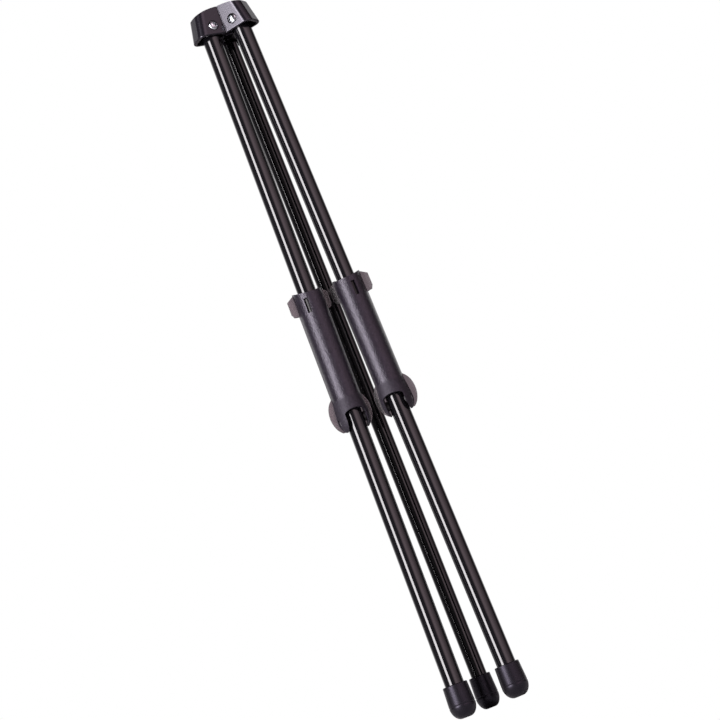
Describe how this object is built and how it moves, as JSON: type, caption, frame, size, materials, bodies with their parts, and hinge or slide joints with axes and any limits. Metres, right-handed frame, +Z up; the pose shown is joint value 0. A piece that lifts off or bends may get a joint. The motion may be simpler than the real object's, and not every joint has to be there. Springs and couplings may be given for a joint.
{
  "type": "folding instrument stand",
  "caption": "Folding floor stand for a stringed instrument: tube legs hinged in a lobed hub, with padded cradle arms that fold along the front legs.",
  "frame": {"origin": "middle of the base of the stand, on the floor between the feet, with the legs folded", "axes": "+Z up along the folded legs towards the hub, -Y the front, where the cradle arms swing out, +X to the right seen from the front"},
  "size_m": [0.0904, 0.0662, 0.76],
  "materials": {
    "hub_black": "gloss moulded black",
    "tube_black": "gloss black lacquer on steel tube",
    "plug_nylon": "black nylon",
    "screw_steel": "dark oxide steel",
    "zinc_steel": "zinc plated steel",
    "cap_rubber": "matte black rubber",
    "arm_plastic": "fine grained dark grey-purple moulding",
    "pad_elastomer": "smoke grey translucent soft elastomer"
  },
  "bodies": {
    "hub": {"hub_shell": "hub_black", "left_pivot_screw": "screw_steel", "left_pivot_nut": "zinc_steel", "left_pivot_washer_a": "plug_nylon", "left_pivot_washer_b": "plug_nylon", "right_pivot_screw": "screw_steel", "right_pivot_nut": "zinc_steel", "right_pivot_washer_a": "plug_nylon", "right_pivot_washer_b": "plug_nylon", "rear_pivot_screw": "screw_steel", "rear_pivot_nut": "zinc_steel", "rear_pivot_washer_a": "plug_nylon", "rear_pivot_washer_b": "plug_nylon"},
    "left_leg": {"left_leg_plug": "plug_nylon", "left_leg_tube": "tube_black", "left_foot_disc": "zinc_steel", "left_foot_cap": "cap_rubber", "left_arm_pin": "screw_steel", "left_arm_pin_clip": "zinc_steel", "left_arm_saddle_outer": "plug_nylon", "left_arm_saddle_inner": "plug_nylon"},
    "right_leg": {"right_leg_plug": "plug_nylon", "right_leg_tube": "tube_black", "right_foot_disc": "zinc_steel", "right_foot_cap": "cap_rubber", "right_arm_pin": "screw_steel", "right_arm_pin_clip": "zinc_steel", "right_arm_saddle_outer": "plug_nylon", "right_arm_saddle_inner": "plug_nylon"},
    "rear_leg": {"rear_leg_plug": "plug_nylon", "rear_leg_tube": "tube_black", "rear_foot_disc": "zinc_steel", "rear_foot_cap": "cap_rubber"},
    "left_arm": {"left_arm_shell": "arm_plastic", "left_arm_pad": "pad_elastomer"},
    "right_arm": {"right_arm_shell": "arm_plastic", "right_arm_pad": "pad_elastomer"}
  },
  "joints": [
    {"name": "left_leg_fold", "type": "hinge", "parent": "hub", "child": "left_leg", "pos_m": [-0.01645, -0.01379, 0.7385], "axis": [-0.5, 0.866, 0], "range_deg": [0, 24]},
    {"name": "right_leg_fold", "type": "hinge", "parent": "hub", "child": "right_leg", "pos_m": [0.01645, -0.01379, 0.7385], "axis": [-0.5, -0.866, 0], "range_deg": [0, 24]},
    {"name": "rear_leg_fold", "type": "hinge", "parent": "hub", "child": "rear_leg", "pos_m": [0, 0.01471, 0.7385], "axis": [1, 0, 0], "range_deg": [0, 24]},
    {"name": "left_arm_fold", "type": "hinge", "parent": "left_leg", "child": "left_arm", "pos_m": [-0.02268, -0.01738, 0.30806], "axis": [0.9743, 0.2249, -0.016], "range_deg": [0, 84]},
    {"name": "right_arm_fold", "type": "hinge", "parent": "right_leg", "child": "right_arm", "pos_m": [0.02268, -0.01738, 0.30806], "axis": [0.9743, -0.2249, 0.016], "range_deg": [0, 84]}
  ]
}
